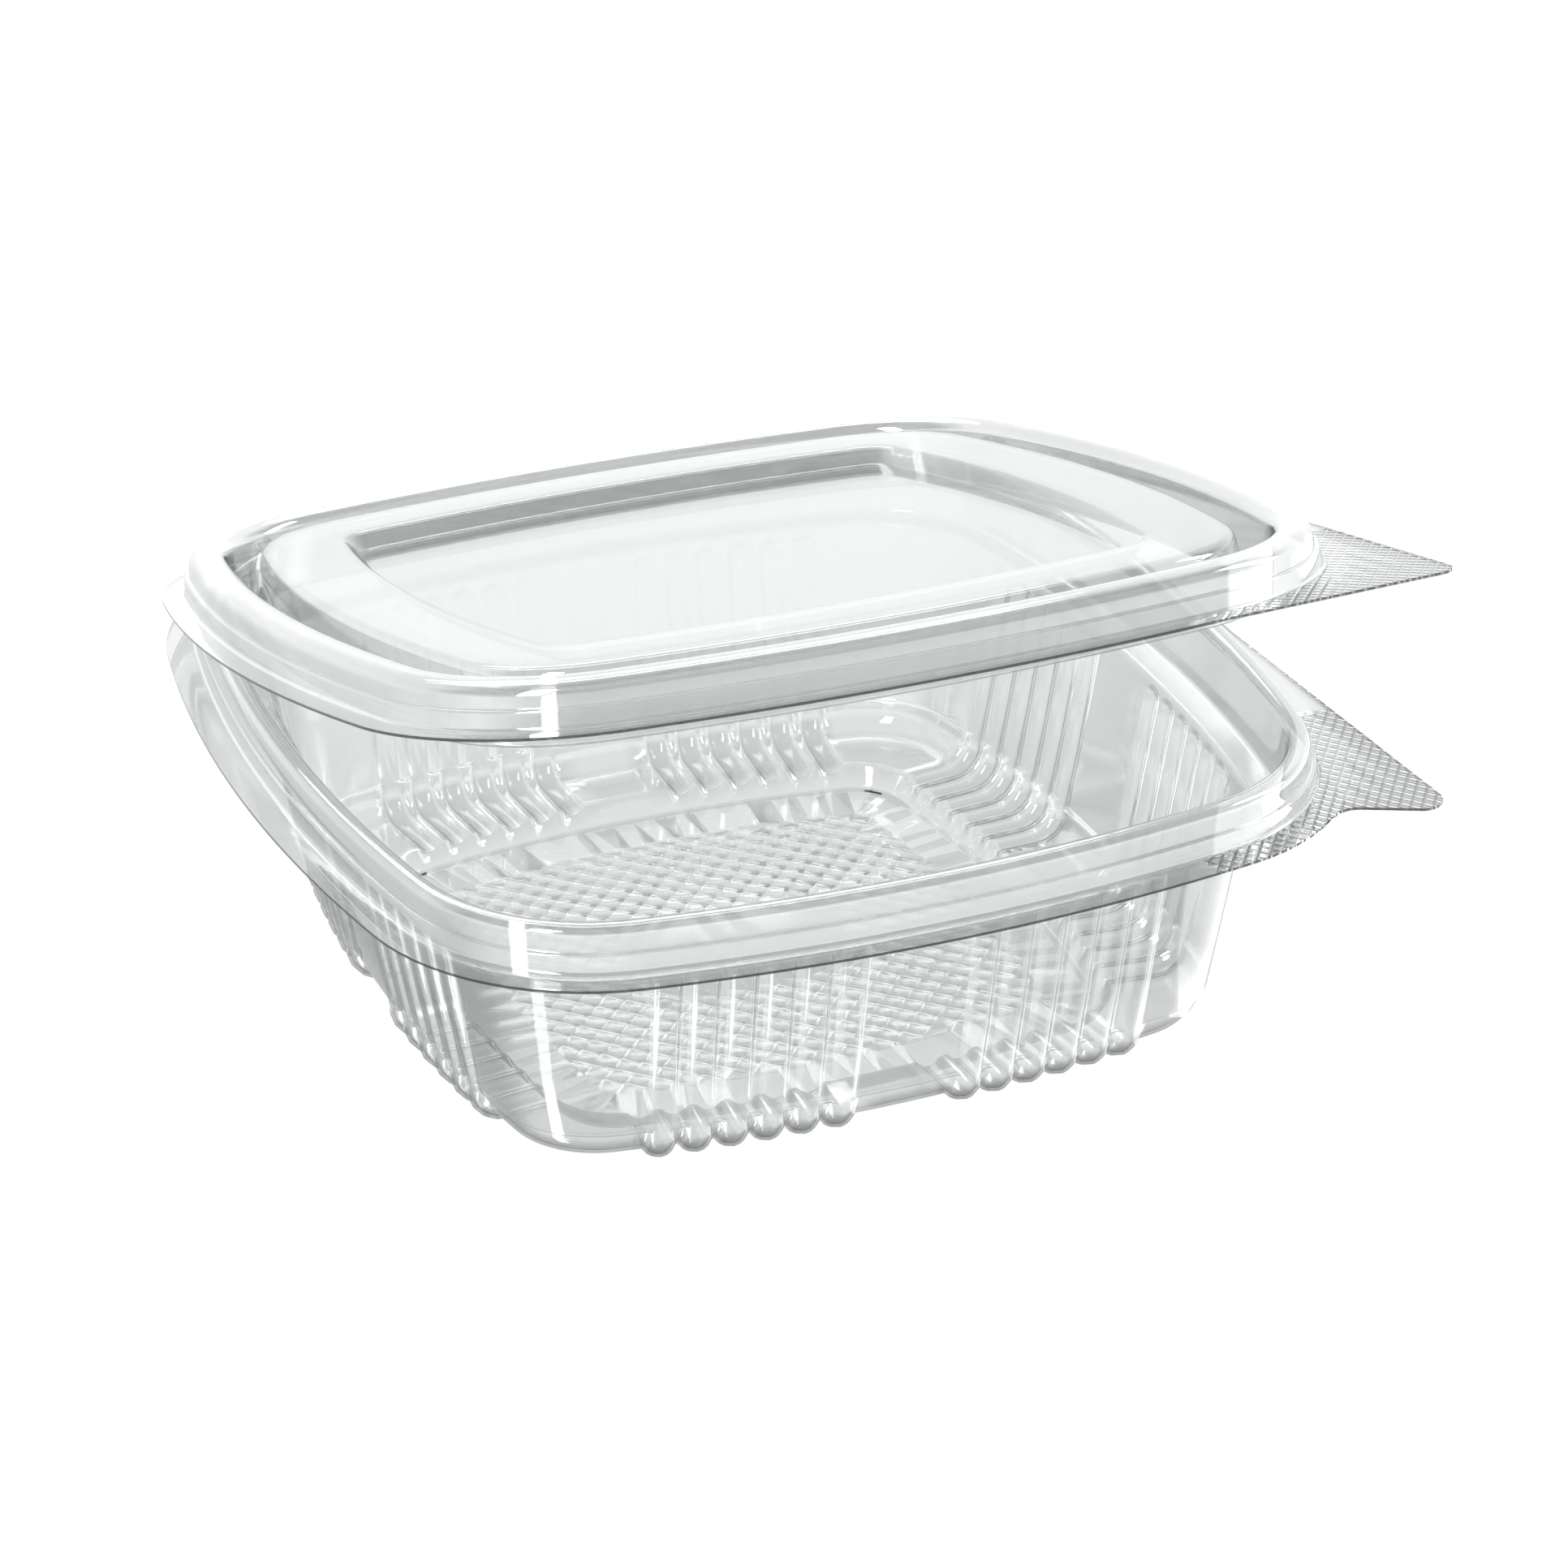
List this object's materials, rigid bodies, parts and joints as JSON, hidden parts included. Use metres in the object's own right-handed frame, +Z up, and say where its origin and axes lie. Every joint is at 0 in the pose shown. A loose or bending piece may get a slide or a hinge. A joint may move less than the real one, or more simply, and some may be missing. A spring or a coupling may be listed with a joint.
{
  "type": "plastic clamshell pack",
  "caption": "Clear thermoformed food pack: square tray with bowed sides, lobed walls and recessed floor, and a raised-panel lid hinged along the back, with corner pull tabs.",
  "frame": {"origin": "middle of the tray's floor panel, on the table", "axes": "+X along the front edge to the side with the pull tabs, +Y to the hinge at the back, +Z up"},
  "size_m": [0.1919, 0.1986, 0.1022],
  "materials": {
    "clear_sheet": "clear glossy PET sheet"
  },
  "bodies": {
    "tray": {"tray": "clear_sheet"},
    "lid": {"lid": "clear_sheet"}
  },
  "joints": [
    {"name": "lid_fold", "type": "hinge", "parent": "tray", "child": "lid", "pos_m": [0, 0.101, 0.0514], "axis": [-1, 0, 0], "range_deg": [-13, 167]}
  ]
}
